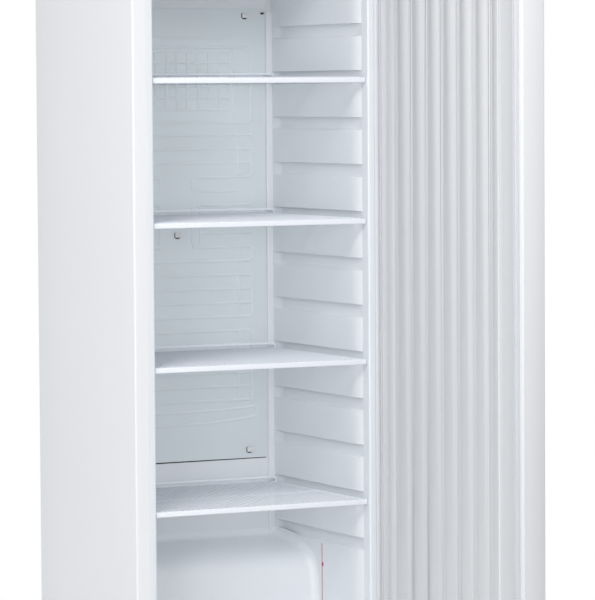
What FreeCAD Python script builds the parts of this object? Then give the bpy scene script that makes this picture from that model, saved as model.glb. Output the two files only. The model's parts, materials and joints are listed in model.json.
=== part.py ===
import FreeCAD, Part
import math
import os
import re
import Sketcher

Vector = FreeCAD.Vector
Z_AXIS = Vector(0, 0, 1)

doc = FreeCAD.newDocument("UprightFreezer")

# Driving dimensions in millimetres. X runs to the right of someone facing the cabinet,
# Y to its back and Z up. The origin is on the floor in the middle of the cabinet's depth.
SIZES = {
    # cabinet shell
    "width": 600,
    "height": 1850,
    "depth": 510,
    "steel": 1,
    "flange": 31.5,
    "foot_height": 20,
    "sill": 114.5,
    # lined interior
    "liner": 3,
    "lip": 2.5,
    "jamb": 253,
    "crest": 244,
    "crest_rear": 247,
    "floor_half": 243.7,
    "crest_front": 28,
    "crest_ramp": 50,
    "inner_depth": 450,
    "floor_level": 130,
    "ceiling": 1730,
    "groove_top": 1524,
    "groove_pitch": 100.9,
    "groove_height": 26.5,
    "groove_count": 12,
    "groove_stop": 384,
    "groove_end": 411,
    "groove_ramp": 34,
    # raised floor over the compressor
    "hump_top": 378,
    "hump_ridge": 347,
    "hump_brow": 300,
    "hump_front": 232,
    "bay_front": 285,
    "bay_top": 320,
    # door
    "door_gap": 10,
    "door_thick": 50,
    "door_low": 62,
    "door_high": 1768,
    "hinge_inset": 12,
    "hinge_forward": 20,
    "pin_radius": 4,
    "bush_radius": 7,
    "running_gap": 0.05,
    "cap": 3,
    "free_lip": 16,
    "hinge_lip": 4,
    "gasket_width": 16,
    "gasket_edge": 9.5,
    "gasket_thick": 9.7,
    "gasket_low": 96,
    "gasket_high": 1764,
    "rib_count": 7,
    "rib_first": 77,
    "rib_pitch": 66.2,
    "rib_width": 32,
    "rib_depth": 3.5,
    "panel_rise": 5,
    "panel_start": 44.5,
    "panel_end": 509,
    # wire shelves
    "shelf_half": 250.5,
    "shelf_front": 7,
    "shelf_rear": 436,
    "shelf_wire": 1.6,
    "shelf_band": 11.4,
    "shelf_band_thick": 5,
    "shelf_rod": 2.5,
    "shelf_side": 2.7,
    "shelf_taper": 3.2,
    "wire_count": 37,
    "wire_pitch": 13,
    "rail_rise": 24,
    "rail_corner": 12,
    # cold plate
    "plate_half": 231.5,
    "plate_low": 555,
    "plate_high": 1564,
    "plate_thick": 1.6,
    "channel_rise": 1.4,
    "channel_width": 7,
    "rung_top": 1283,
    "rung_pitch": 31.35,
    "riser_inner": 161,
    "riser_outer": 196,
    "grid_pitch": 26,
    # feet
    "foot_x": 255,
    "foot_y": 210,
    "foot_radius": 20,
    "stem_radius": 5,
    # front controls
    "fascia_low": 1776,
    "fascia_wall": 2.5,
    "button_radius": 7,
    "button_pitch": 28,
    "button_gap": 0.3,
    # lock
    "lock_x": 270,
    "lock_z": 76,
    "lock_radius": 9,
    # machine bay
    "compressor_radius": 72,
    "compressor_height": 150,
    "tube_radius": 3,
    "coil_radius": 2.5,
    "coil_runs": 12,
    "coil_pitch": 90,
    "wire_radius": 0.8,
}
FRONT = "-depth/2"
BACK = "depth/2"
SIDE = "width/2"

sheet = doc.addObject("Spreadsheet::Sheet", "Sizes")
for row, (alias, value) in enumerate(SIZES.items(), 1):
    sheet.set(f"A{row}", alias)
    sheet.set(f"B{row}", str(value))
    sheet.setAlias(f"B{row}", alias)
doc.recompute()

pieces = []


def size(alias):
    return float(sheet.get(alias))


def bound(text):
    """An expression over the sheet's aliases."""
    return re.sub(r"\b[a-z][a-z_]*\b", lambda word: "Sizes." + word.group(0), str(text))


def put(item, place):
    for axis, text in zip("xyz", place):
        item.setExpression(f"Placement.Base.{axis}", bound(text))


def box(name, low, high):
    """A block between two corners, each three expressions."""
    item = doc.addObject("Part::Box", name)
    put(item, low)
    for side, start, end in zip(("Length", "Width", "Height"), low, high):
        item.setExpression(side, bound(f"({end})-({start})"))
    return item


def rod(name, start, radius, length, axis=Z_AXIS):
    """A round bar from start along axis."""
    item = doc.addObject("Part::Cylinder", name)
    item.Placement = FreeCAD.Placement(Vector(), FreeCAD.Rotation(Z_AXIS, axis))
    put(item, start)
    item.setExpression("Radius", bound(radius))
    item.setExpression("Height", bound(length))
    return item


def fuse(name, parts):
    item = doc.addObject("Part::MultiFuse", name)
    item.Shapes = parts
    item.Refine = True
    return item


def cut(name, base, tools):
    item = doc.addObject("Part::Cut", name)
    item.Base = base
    item.Tool = tools[0] if len(tools) == 1 else fuse(name + "_tools", tools)
    return item


def group(name, parts):
    """Identical separate solids in one node."""
    item = doc.addObject("Part::Compound", name)
    item.Links = parts
    return item


def rounded(name, base, radius, wanted):
    """The base with the wanted edges rounded."""
    doc.recompute()
    item = doc.addObject("Part::Fillet", name)
    item.Base = base
    edges = enumerate(base.Shape.Edges, 1)
    item.Edges = [(number, radius, radius) for number, edge in edges if wanted(edge)]
    return item


def along(edge, axis):
    ends = [vertex.Point for vertex in edge.Vertexes]
    if len(ends) < 2 or edge.Curve.TypeId != "Part::GeomLine":
        return False
    return abs((ends[1] - ends[0]).normalize().dot(axis)) > 0.999


def keep(name, item, swung=False):
    """Registers a finished piece; what belongs to the door is turned to its open place."""
    item.Label = name
    if swung:
        item.Placement = FreeCAD.Placement(Vector(), FreeCAD.Rotation(Z_AXIS, 90))
        hinge_x, hinge_y = f"({SIDE}-hinge_inset)", f"({FRONT}-hinge_forward)"
        put(item, (f"{hinge_x}+{hinge_y}", f"{hinge_y}-{hinge_x}", "0"))
    pieces.append(item)
    return item


def sketch_on(body, name, role):
    sketch = body.newObject("Sketcher::SketchObject", name)
    plane = [part for part in body.Origin.OriginFeatures if part.Role == role]
    sketch.AttachmentSupport = [(plane[0], "")]
    sketch.MapMode = "FlatFace"
    return sketch


def outline(sketch, points):
    """A closed outline of straight sides whose corners are expressions."""
    count = len(points)
    for number in range(count):
        start = Vector(number + 1, 3 * number % 11, 0)
        after = (number + 1) % count
        sketch.addGeometry(Part.LineSegment(start, Vector(after + 1, 3 * after % 11, 0)))
    for number in range(count):
        sketch.addConstraint(Sketcher.Constraint("Coincident", number, 2, (number + 1) % count, 1))
    for number, corner in enumerate(points):
        for kind, text in zip(("DistanceX", "DistanceY"), corner):
            index = sketch.addConstraint(Sketcher.Constraint(kind, -1, 1, number, 1, 1.0))
            sketch.setExpression(f"Constraints[{index}]", bound(text))


def padded(name, role, points, length):
    """A body with one outline padded along the plane's normal."""
    body = doc.addObject("PartDesign::Body", name)
    sketch = sketch_on(body, name + "_outline", role)
    outline(sketch, points)
    pad = body.newObject("PartDesign::Pad", name + "_pad")
    pad.Profile = sketch
    pad.setExpression("Length", bound(length))
    return body


def revolved(name, points):
    """A turned body: the outline lies in XZ and turns about Z."""
    body = doc.addObject("PartDesign::Body", name)
    sketch = sketch_on(body, name + "_outline", "XZ_Plane")
    outline(sketch, points)
    turn = body.newObject("PartDesign::Revolution", name + "_turn")
    turn.Profile = sketch
    turn.ReferenceAxis = (sketch, ["V_Axis"])
    turn.Angle = 360
    return body


def tube(name, route, radius, bend):
    """A bent tube: straight runs joined by tangent arcs of one bend radius."""
    points = [Vector(*point) for point in route]
    edges = []
    start = points[0]
    for before, corner, after in zip(points, points[1:], points[2:]):
        back = (before - corner).normalize()
        ahead = (after - corner).normalize()
        half = back.getAngle(ahead) / 2
        reach = bend / math.tan(half)
        first = corner + back * reach
        last = corner + ahead * reach
        middle = (back + ahead).normalize()
        top = corner + middle * (bend / math.sin(half) - bend)
        edges.append(Part.LineSegment(start, first).toShape())
        edges.append(Part.Arc(first, top, last).toShape())
        start = last
    edges.append(Part.LineSegment(start, points[-1]).toShape())
    direction = (points[1] - points[0]).normalize()
    ring = Part.Wire(Part.makeCircle(radius, points[0], direction))
    item = doc.addObject("Part::Feature", name)
    item.Shape = Part.Wire(edges).makePipeShell([ring], True, False)
    return item


# ---- steel shell -------------------------------------------------------------------------
def side_panel(name, sign):
    """Side sheet with the front flange folded round the door frame and a return at the back."""
    outer, inner = (SIDE, f"{SIDE}-steel")
    edge = f"{SIDE}-flange"
    corners = [
        (f"{edge}", FRONT), (outer, FRONT), (outer, BACK), (f"{SIDE}-18", BACK),
        (f"{SIDE}-18", f"{BACK}-steel"), (inner, f"{BACK}-steel"),
        (inner, f"{FRONT}+steel"), (edge, f"{FRONT}+steel"),
    ]
    points = [(f"{sign}*({x})", y) for x, y in corners]
    body = padded(name, "XY_Plane", points, "height-steel-foot_height")
    put(body, ("0", "0", "foot_height"))
    return body


def screw_places(z_low, z_high):
    """Where the two screws of a hinge bracket pass its tab."""
    return [(f"{SIDE}-{inset}", f"({z_low}+{z_high})/2") for inset in (12, 28)]


TAB_LOW = ("foot_height+6", "door_low-6")
TAB_HIGH = ("door_high+5.5", "door_high+36")
BRACKET_SCREWS = screw_places(*TAB_LOW) + screw_places(*TAB_HIGH)


def screw_holes(name, radius):
    holes = []
    for number, (x, z) in enumerate(BRACKET_SCREWS):
        start = (x, f"{FRONT}-6", z)
        holes.append(rod(f"{name}_hole{number}", start, radius, "12", Vector(0, 1, 0)))
    return holes


keep("side_panel_left", side_panel("side_panel_left", "-1"))
right_sheet = side_panel("side_panel_right_sheet", "1")
keep("side_panel_right", cut("side_panel_right", right_sheet, screw_holes("flange", "2.6")))

lid = box("lid", (f"-{SIDE}", FRONT, "height-steel"), (SIDE, BACK, "height"))
header = box(
    "header", (f"-{SIDE}+flange+0.2", FRONT, "ceiling+15.5"),
    (f"{SIDE}-flange-0.2", f"{FRONT}+steel", "height-steel"))
keep("top_panel", fuse("top_panel", [lid, header]))

rear_sheet = box(
    "rear_sheet", (f"-{SIDE}+18.2", f"{BACK}-steel", "bay_top+1"),
    (f"{SIDE}-18.2", BACK, "height-steel"))
inlet_hole = rod("suction_entry", ("190", f"{BACK}-10", "1500"), "8", "20", Vector(0, 1, 0))
keep("back_panel", cut("back_panel", rear_sheet, [inlet_hole]))

tray = box(
    "tray", (f"-{SIDE}+steel", f"{FRONT}+steel", "foot_height"),
    (f"{SIDE}-steel", f"{BACK}-steel", "foot_height+2"))
sill_strip = box(
    "sill_strip", (f"-{SIDE}+flange+0.2", FRONT, "foot_height"),
    (f"{SIDE}-flange-0.2", f"{FRONT}+steel", "sill"))
foot_places = [(f"{sx}*foot_x", f"{sy}*foot_y") for sy in (-1, 1) for sx in (-1, 1)]
stem_holes = [
    rod(f"stem_hole{number}", (x, y, "foot_height-1"), "stem_radius+0.3", "4")
    for number, (x, y) in enumerate(foot_places)]
keep("base_tray", cut("base_tray", fuse("tray_and_sill", [tray, sill_strip]), stem_holes))

bay_roof = box(
    "bay_roof", (f"-{SIDE}+steel", f"{FRONT}+bay_front", "bay_top"),
    (f"{SIDE}-steel", f"{BACK}-steel", "bay_top+1"))
bay_wall = box(
    "bay_wall", (f"-{SIDE}+steel", f"{FRONT}+bay_front-1", "foot_height+2"),
    (f"{SIDE}-steel", f"{FRONT}+bay_front", "bay_top+1"))
keep("machine_bay_panel", fuse("machine_bay_panel", [bay_roof, bay_wall]))


# ---- liner -------------------------------------------------------------------------------
RAMP_STEPS = 5


def liner_wall(name, sign):
    """Side wall with its front lip, a raised face and shelf grooves that run out at the front."""
    curve = [
        (f"crest+(jamb-crest)*{(1 - step / RAMP_STEPS) ** 2}",
         f"{FRONT}+crest_front+crest_ramp*{step / RAMP_STEPS}")
        for step in range(RAMP_STEPS + 1)]
    corners = [
        ("jamb+15.3", FRONT), ("jamb+2", FRONT), ("jamb+0.6", f"{FRONT}+0.6"),
        ("jamb", f"{FRONT}+2")] + curve + [
        ("crest_rear", f"{FRONT}+inner_depth"), ("jamb+liner", f"{FRONT}+inner_depth"),
        ("jamb+liner", f"{FRONT}+lip"), ("jamb+15.3", f"{FRONT}+lip"),
    ]
    points = [(f"{sign}*({x})", y) for x, y in corners]
    body = padded(name, "XY_Plane", points, "ceiling+15.3-sill-0.2")
    put(body, ("0", "0", "sill+0.2"))
    sketch = sketch_on(body, name + "_groove_outline", "XY_Plane")
    sketch.setExpression(
        "AttachmentOffset.Base.z",
        bound("groove_top-groove_pitch*(groove_count-1)-groove_height-sill-0.2"))
    groove = [
        ("crest_rear-10", f"{FRONT}-5"), ("jamb", f"{FRONT}-5"), ("jamb", f"{FRONT}+groove_stop"),
        ("jamb+1", f"{FRONT}+groove_end"), ("crest_rear-1", f"{FRONT}+groove_end+groove_ramp"),
        ("crest_rear-10", f"{FRONT}+groove_end+groove_ramp"),
    ]
    outline(sketch, [(f"{sign}*({x})", y) for x, y in groove])
    pocket = body.newObject("PartDesign::Pocket", name + "_groove")
    pocket.Profile = sketch
    pocket.setExpression("Length", bound("groove_height"))
    pocket.Reversed = True
    pattern = body.newObject("PartDesign::LinearPattern", name + "_grooves")
    pattern.Originals = [pocket]
    upright = [part for part in body.Origin.OriginFeatures if part.Role == "Z_Axis"][0]
    pattern.Direction = (upright, [""])
    pattern.setExpression("Length", bound("groove_pitch*(groove_count-1)"))
    pattern.setExpression("Occurrences", bound("groove_count"))
    body.Tip = pattern
    return body


bay_way = box(
    "bay_way", ("-width", f"{FRONT}+bay_front-1.2", "0"), ("width", "depth", "bay_top+1.2"))
for name, sign in (("liner_left_wall", "-1"), ("liner_right_wall", "1")):
    keep(name, cut(name, liner_wall(name + "_moulding", sign), [bay_way]))

back_face = f"{FRONT}+inner_depth"
wall = box(
    "wall", ("-jamb-liner", back_face, "hump_top-liner"),
    ("jamb+liner", f"{back_face}+liner", "ceiling+liner"))
pilasters = [
    box(f"pilaster{number}", (f"{x}", f"{back_face}-6", "hump_top+1"),
        (f"{x}+11.5", f"{back_face}+1", "plate_high-4"))
    for number, x in enumerate(("-crest_rear+2.5", "crest_rear-14"))]
tube_entry = rod("tube_entry", ("190", f"{back_face}-10", "1500"), "8", "20", Vector(0, 1, 0))
keep("liner_back_wall", cut("liner_back_wall", fuse("wall_and_pilasters", [wall] + pilasters),
                            [tube_entry]))

ceiling_plate = box(
    "ceiling_plate", ("-floor_half", f"{FRONT}+crest_front+crest_ramp", "ceiling"),
    ("floor_half", f"{back_face}-0.2", "ceiling+liner"))
ceiling_front = box(
    "ceiling_front", ("-jamb+0.2", FRONT, "ceiling"),
    ("jamb-0.2", f"{FRONT}+crest_front", "ceiling+liner"))
ceiling_join = box(
    "ceiling_join", ("-floor_half", f"{FRONT}+crest_front", "ceiling"),
    ("floor_half", f"{FRONT}+crest_front+crest_ramp", "ceiling+liner"))
ceiling_lip = box(
    "ceiling_lip", ("-jamb+0.2", FRONT, "ceiling"), ("jamb-0.2", f"{FRONT}+lip", "ceiling+15.3"))
keep("liner_ceiling", fuse("liner_ceiling", [ceiling_plate, ceiling_front, ceiling_join, ceiling_lip]))

# floor plate that rises over the machine bay: one strip 3 mm thick, followed along its profile
FLOOR = [
    ("0.2", "floor_level"), ("hump_front-14", "floor_level"), ("hump_front", "floor_level+14"),
    ("hump_front+3", "hump_brow-22"), ("hump_front+9", "hump_brow+16"),
    ("hump_front+24", "hump_ridge"), ("hump_front+60", "hump_ridge+17"),
    ("hump_front+136", "hump_top-5"), ("inner_depth-0.2", "hump_top"),
]
UNDER = [
    ("inner_depth-0.2", "hump_top-liner"), ("hump_front+136.5", "hump_top-5-liner"),
    ("hump_front+61", "hump_ridge+17-liner"), ("hump_front+26", "hump_ridge-liner"),
    ("hump_front+12", "hump_brow+15"), ("hump_front+6", "hump_brow-22"),
    ("hump_front+3", "floor_level+12"), ("hump_front-12.8", "floor_level-liner"),
    ("lip", "floor_level-liner"), ("lip", "sill+0.2"), ("0", "sill+0.2"), ("0", "floor_level-2"),
]
floor_points = [(f"{FRONT}+{y}", z) for y, z in FLOOR + UNDER]
floor_body = padded("liner_floor", "YZ_Plane", floor_points, "2*floor_half")
put(floor_body, ("-floor_half", "0", "0"))
keep("liner_floor", floor_body)


# ---- insulation between shell and liner ------------------------------------------------------
foam_block = box(
    "foam_block", (f"-{SIDE}+steel", f"{FRONT}+lip+0.2", "foot_height+2"),
    (f"{SIDE}-steel", f"{BACK}-steel", "height-steel"))
foam_bay = box(
    "foam_bay", ("-width", f"{FRONT}+bay_front-1", "0"), ("width", "depth", "bay_top+1"))
foam_room = box(
    "foam_room", ("-jamb-liner", "-depth", "floor_level-liner"),
    ("jamb+liner", f"{back_face}+liner", "ceiling+liner"))
foam_wall_ways = [
    box(f"foam_wall_way{number}", (low, "-depth", "sill"), (high, back_face, "ceiling+15.5"))
    for number, (low, high) in enumerate((
        ("-jamb-liner", "-floor_half"), ("floor_half", "jamb+liner")))]
foam_hump = padded(
    "foam_hump", "YZ_Plane",
    [(f"{FRONT}+{y}", z) for y, z in UNDER[:8]] + [(f"{back_face}-0.2", "floor_level-liner")],
    "2*floor_half")
put(foam_hump, ("-floor_half", "0", "0"))
stem_wells = [
    rod(f"stem_well{number}", (x, y, "foot_height"), "stem_radius+2", "42")
    for number, (x, y) in enumerate(foot_places)]
pipe_way = rod("pipe_way", ("190", f"{back_face}-10", "1500"), "8", "100", Vector(0, 1, 0))
foam_shell = cut("foam_shell", foam_block, [foam_room] + foam_wall_ways)
foam_whole = fuse("foam_whole", [foam_shell, foam_hump])
keep("body_foam", cut("body_foam", foam_whole, [foam_bay, pipe_way] + stem_wells))


# ---- cold plate on the back wall -------------------------------------------------------------
plate_rear = f"{back_face}-0.5"
plate_face = f"{plate_rear}-plate_thick"
sheet_plate = box(
    "sheet_plate", ("-plate_half", plate_face, "plate_low"),
    ("plate_half-1", plate_rear, "plate_high"))


def channel(name, low, high):
    """One blown channel of the roll-bonded plate, a low ridge between two of its ends."""
    half = "channel_width/2"
    return box(
        name, (f"{low[0]}-{half}", f"{plate_face}-channel_rise", f"{low[1]}-{half}"),
        (f"{high[0]}+{half}", f"{plate_face}+0.5", f"{high[1]}+{half}"))


def rung(number):
    return f"(rung_top-rung_pitch*{number})"


channels = []
for number in range(22):
    reach = "riser_inner" if number in (4, 6) else "riser_outer"
    channels.append(channel(
        f"rung{number}", (f"-{reach}", rung(number)), (reach, rung(number))))
for top, bottom in ((-0.5, 3), (4, 5), (8, 9), (10, 13), (14, 19), (20, 21)):
    for side in ("-1", "1"):
        for reach in ("riser_inner", "riser_outer"):
            x = f"{side}*{reach}"
            channels.append(channel(
                f"riser{len(channels)}", (x, rung(bottom)), (x, rung(top))))
for level in ("1310", "1478"):
    channels.append(channel(
        f"border{len(channels)}", ("-riser_outer", level), ("riser_outer", level)))
for side in ("-1", "1"):
    channels.append(channel(
        f"border{len(channels)}", (f"{side}*riser_outer", "1310"), (f"{side}*riser_outer", "1478")))
for number in range(6):
    level = f"(1470-grid_pitch*{number})"
    channels.append(channel(
        f"grid_row{number}", ("-5.5*grid_pitch", level), ("5.5*grid_pitch", level)))
for number in range(12):
    x = f"({number}-5.5)*grid_pitch"
    channels.append(channel(f"grid_column{number}", (x, "1470-5*grid_pitch"), (x, "1470")))
keep("evaporator_plate", fuse("evaporator_plate", [sheet_plate] + channels))

CLIP_PLACES = [(183, 1549), (13, 1061), (188, 574)]
clips = []
for number, (x, z) in enumerate(CLIP_PLACES):
    block = box(
        f"clip_block{number}", (f"{x}-9", f"{plate_face}-6", f"{z}-5"),
        (f"{x}+9", f"{plate_face}-channel_rise-0.1", f"{z}+5"))
    head = rod(f"clip_head{number}", (str(x), f"{plate_face}-7.5", str(z)), "3.2", "3",
               Vector(0, 1, 0))
    clips.append(fuse(f"clip{number}", [block, head]))
keep("evaporator_clips", group("evaporator_clips", clips))
keep("temperature_probe", rod(
    "temperature_probe", ("223", f"{plate_face}-8", "1554"), "2.5", "7.9", Vector(0, 1, 0)))


# ---- wire shelves --------------------------------------------------------------------------
def shelf_shape():
    """A welded wire shelf, its lowest point at zero, its front band at the front."""
    half, front, rear = size("shelf_half"), size("shelf_front"), size("shelf_rear")
    rod_radius, thin, side_rod = size("shelf_rod"), size("shelf_wire"), size("shelf_side")
    rise, corner, taper = size("rail_rise"), size("rail_corner"), size("shelf_taper")
    band, band_thick = size("shelf_band"), size("shelf_band_thick")
    front -= size("depth") / 2
    rear -= size("depth") / 2
    across, back, up = Vector(1, 0, 0), Vector(0, 1, 0), Vector(0, 0, 1)
    wire_level = band + 0.4
    rod_level = wire_level - thin - rod_radius + 0.4
    last = rear - rod_radius
    edge = half - side_rod - taper
    strip = Part.makeBox(2 * half, band_thick, band, Vector(-half, front, 0))
    bars = [strip.makeFillet(1.5, [
        side for side in strip.Edges if abs(side.tangentAt(side.FirstParameter).x) > 0.9])]
    for y in ((front + last) / 2, last):
        bars.append(Part.makeCylinder(rod_radius, 2 * edge, Vector(-edge, y, rod_level), across))
    start_y = front + band_thick / 2
    for side in (-1, 1):
        start = Vector(side * (half - side_rod), start_y, rod_level)
        aim = Vector(-side * taper, last - start_y, 0)
        bars.append(Part.makeCylinder(side_rod, aim.Length, start, aim))
    count = int(size("wire_count"))
    for number in range(count):
        x = (number - (count - 1) / 2) * size("wire_pitch")
        bars.append(Part.makeCylinder(
            thin, last - front - 0.5, Vector(x, front + 0.5, wire_level), back))
    level = rise - rod_radius
    route = [
        Vector(-edge, last, 0), Vector(-edge, last, level), Vector(edge, last, level),
        Vector(edge, last, 0)]
    bent = math.sqrt(0.5) * corner
    path = []
    for sign, foot, top in ((-1, route[0], route[1]), (1, route[3], route[2])):
        below = Vector(top.x, top.y, top.z - corner)
        inner = Vector(top.x - sign * corner, top.y, top.z)
        middle = Vector(inner.x, inner.y, below.z) + Vector(sign * bent, 0, bent)
        path.append((Part.LineSegment(foot, below), Part.Arc(below, middle, inner), inner))
    rail_edges = [path[0][0].toShape(), path[0][1].toShape()]
    rail_edges.append(Part.LineSegment(path[0][2], path[1][2]).toShape())
    rail_edges += [path[1][1].toShape(), path[1][0].toShape()]
    wire = Part.Wire(Part.__sortEdges__(rail_edges))
    ring = Part.Wire(Part.makeCircle(rod_radius, route[0], up))
    rail = wire.makePipeShell([ring], True, False)
    return bars[0].multiFuse(bars[1:] + [rail])


wire_shelf = shelf_shape()
for number, groove in enumerate((1, 4, 7, 10), 1):
    shelf = doc.addObject("Part::Feature", f"shelf_{number}")
    shelf.Shape = wire_shelf
    ledge = f"groove_top-groove_pitch*{groove}-groove_height+0.3"
    put(shelf, ("0", "0", ledge))
    keep(f"shelf_{number}", shelf)


# ---- levelling feet --------------------------------------------------------------------------
for number, (x, y) in enumerate(foot_places):
    side = "left" if number % 2 == 0 else "right"
    end = "front" if number < 2 else "rear"
    foot = revolved(f"foot_{end}_{side}", [
        ("0", "0"), ("foot_radius", "0"), ("foot_radius", "7"),
        ("foot_radius-7", "foot_height-8"), ("foot_radius-9", "foot_height-0.2"),
        ("stem_radius", "foot_height-0.2"), ("stem_radius", "foot_height+20"),
        ("0", "foot_height+20")])
    put(foot, (x, y, "0"))
    keep(f"foot_{end}_{side}", foot)


# ---- hinges and lock keeper ------------------------------------------------------------------
def bracket(name, plate_low, plate_high, tab_low, tab_high):
    """A plate that carries the pin and a tab screwed to the front flange."""
    plate = box(
        name + "_plate", (f"{SIDE}-38", f"{FRONT}-hinge_forward-8", plate_low),
        (f"{SIDE}-4", FRONT, plate_high))
    tab = box(name + "_tab", (f"{SIDE}-38", f"{FRONT}-3", tab_low), (f"{SIDE}-4", FRONT, tab_high))
    pin_place = (f"{SIDE}-hinge_inset", f"{FRONT}-hinge_forward", f"{plate_low}-1")
    hole = rod(name + "_pin_hole", pin_place, "pin_radius", "5")
    return cut(name, fuse(name + "_whole", [plate, tab]), [hole] + screw_holes(name, "2.6"))


keep("hinge_bracket_bottom", bracket(
    "hinge_bracket_bottom", "door_low-6", "door_low-3", "foot_height+6", "door_low-3"))
keep("hinge_bracket_top", bracket(
    "hinge_bracket_top", "door_high+2.5", "door_high+5.5", "door_high+2.5", "door_high+36"))
pin_x, pin_y = f"{SIDE}-hinge_inset", f"{FRONT}-hinge_forward"
keep("hinge_pins", group("hinge_pins", [
    rod("pin_low", (pin_x, pin_y, "door_low-6"), "pin_radius", "22"),
    rod("pin_high", (pin_x, pin_y, "door_high-16.5"), "pin_radius", "22")]))
bracket_screws = []
for number, (x, z) in enumerate(BRACKET_SCREWS):
    head = rod(f"screw_head{number}", (x, f"{FRONT}-5.6", z), "4.5", "2.6", Vector(0, 1, 0))
    shank = rod(f"screw_shank{number}", (x, f"{FRONT}-4", z), "2.5", "6.4", Vector(0, 1, 0))
    bracket_screws.append(fuse(f"bracket_screw{number}", [head, shank]))
keep("hinge_screws", group("hinge_screws", bracket_screws))

keeper_left, keeper_right = "-lock_x-14", "-lock_x+14"
keeper_foot = box(
    "keeper_foot", (keeper_left, f"{FRONT}-1.5", "foot_height+8"),
    (keeper_right, FRONT, "foot_height+24"))
keeper_web = box(
    "keeper_web", (keeper_left, f"{FRONT}-9.8", "foot_height+8"),
    (keeper_right, FRONT, "foot_height+9.5"))
keeper_tongue = box(
    "keeper_tongue", (keeper_left, f"{FRONT}-9.8", "foot_height+8"),
    (keeper_right, f"{FRONT}-8.4", "door_low-2"))
keep("lock_keeper", fuse("lock_keeper", [keeper_foot, keeper_web, keeper_tongue]))


# ---- door, drawn closed and then swung open ---------------------------------------------------
door_in = f"{FRONT}-door_gap"
door_out = f"{FRONT}-door_gap-door_thick"
skin = padded("door_skin_sheet", "XY_Plane", [
    (f"-{SIDE}", door_out), (SIDE, door_out), (SIDE, door_in),
    (f"{SIDE}-hinge_lip", door_in), (f"{SIDE}-hinge_lip", f"{door_in}-steel"),
    (f"{SIDE}-steel", f"{door_in}-steel"), (f"{SIDE}-steel", f"{door_out}+steel"),
    (f"-{SIDE}+steel", f"{door_out}+steel"), (f"-{SIDE}+steel", f"{door_in}-steel"),
    (f"-{SIDE}+free_lip", f"{door_in}-steel"), (f"-{SIDE}+free_lip", door_in),
    (f"-{SIDE}", door_in)], "door_high-door_low")
put(skin, ("0", "0", "door_low"))
lock_place = ("-lock_x", f"{door_out}-5", "lock_z")
CUP_LOW = ("-287", door_out, "905")
CUP_HIGH = ("-233", f"{door_out}+26", "1055")
cup_window = box("cup_window", (CUP_LOW[0], f"{door_out}-2", CUP_LOW[2]), CUP_HIGH)
lock_hole = rod("lock_hole", lock_place, "lock_radius+3.1", "door_thick+10", Vector(0, 1, 0))
skin_corners = rounded(
    "skin_corners", skin, 2.5,
    lambda edge: along(edge, Z_AXIS) and abs(edge.Vertexes[0].X) > size("width") / 2 - 0.1
    and abs(edge.Vertexes[0].Y + size("depth") / 2 + size("door_gap") + size("door_thick")) < 0.1)
keep("door_skin", cut("door_skin", skin_corners, [lock_hole, cup_window]), swung=True)

margin = box(
    "margin", (f"-{SIDE}+free_lip+0.2", f"{door_in}-liner", "door_low+cap+0.2"),
    (f"{SIDE}-hinge_lip-0.2", door_in, "door_high-cap-0.2"))
panel = box(
    "panel", (f"{SIDE}-panel_end", f"{door_in}-1", "gasket_low+gasket_width+12"),
    (f"{SIDE}-panel_start", f"{door_in}+panel_rise", "gasket_high-gasket_width-12"))
rib_radius = "((rib_width/2)^2+rib_depth^2)/(2*rib_depth)"
ribs = []
for number in range(int(size("rib_count"))):
    centre = (
        f"{SIDE}-rib_first-rib_pitch*{number}",
        f"{door_in}+panel_rise-rib_depth+{rib_radius}", "gasket_low")
    ribs.append(rod(f"rib{number}", centre, rib_radius, "gasket_high-gasket_low"))
panel_edges = rounded(
    "panel_edges", panel, 3,
    lambda edge: abs(edge.BoundBox.YMax - edge.BoundBox.YMin) < 0.1
    and edge.BoundBox.YMax > -size("depth") / 2 - size("door_gap") + 1)
panel_ribbed = cut("panel_ribbed", panel_edges, ribs)
lock_hole_liner = rod("lock_hole_liner", lock_place, "lock_radius+3.1", "80", Vector(0, 1, 0))
pin_x, pin_y = f"{SIDE}-hinge_inset", f"{FRONT}-hinge_forward"
liner_seat_ways = [
    rod(f"liner_seat_way{number}", (pin_x, pin_y, start), "bush_radius+1.7", "21")
    for number, start in enumerate(("door_low", "door_high-21"))]
keep("door_liner", cut("door_liner", fuse("liner_whole", [margin, panel_ribbed]),
                       [lock_hole_liner] + liner_seat_ways), swung=True)

gasket_outer = box(
    "gasket_outer", (f"-{SIDE}+free_lip", door_in, "gasket_low"),
    (f"{SIDE}-gasket_edge", f"{door_in}+gasket_thick", "gasket_high"))
gasket_inner = box(
    "gasket_inner",
    (f"-{SIDE}+free_lip+gasket_width", f"{door_in}-1", "gasket_low+gasket_width"),
    (f"{SIDE}-gasket_edge-gasket_width", f"{door_in}+gasket_thick+1", "gasket_high-gasket_width"))
keep("door_gasket", cut("door_gasket", gasket_outer, [gasket_inner]), swung=True)


def door_cap(name, low, high, way, passages):
    """Moulded end of the door with the seat for a hinge bush, cut where other pieces pass."""
    plate = box(
        name + "_plate", (f"-{SIDE}+steel+0.2", f"{door_out}+steel+0.2", low),
        (f"{SIDE}-steel-0.2", f"{door_in}-steel-0.2", high))
    seat_start = low if way > 0 else f"{high}-20"
    seat = rod(name + "_seat", (pin_x, pin_y, seat_start), "bush_radius+1.5", "20")
    hole = rod(name + "_hole", (pin_x, pin_y, f"{seat_start}-1"), "bush_radius", "22")
    return cut(name, fuse(name + "_whole", [plate, seat]), [hole] + passages)


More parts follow.
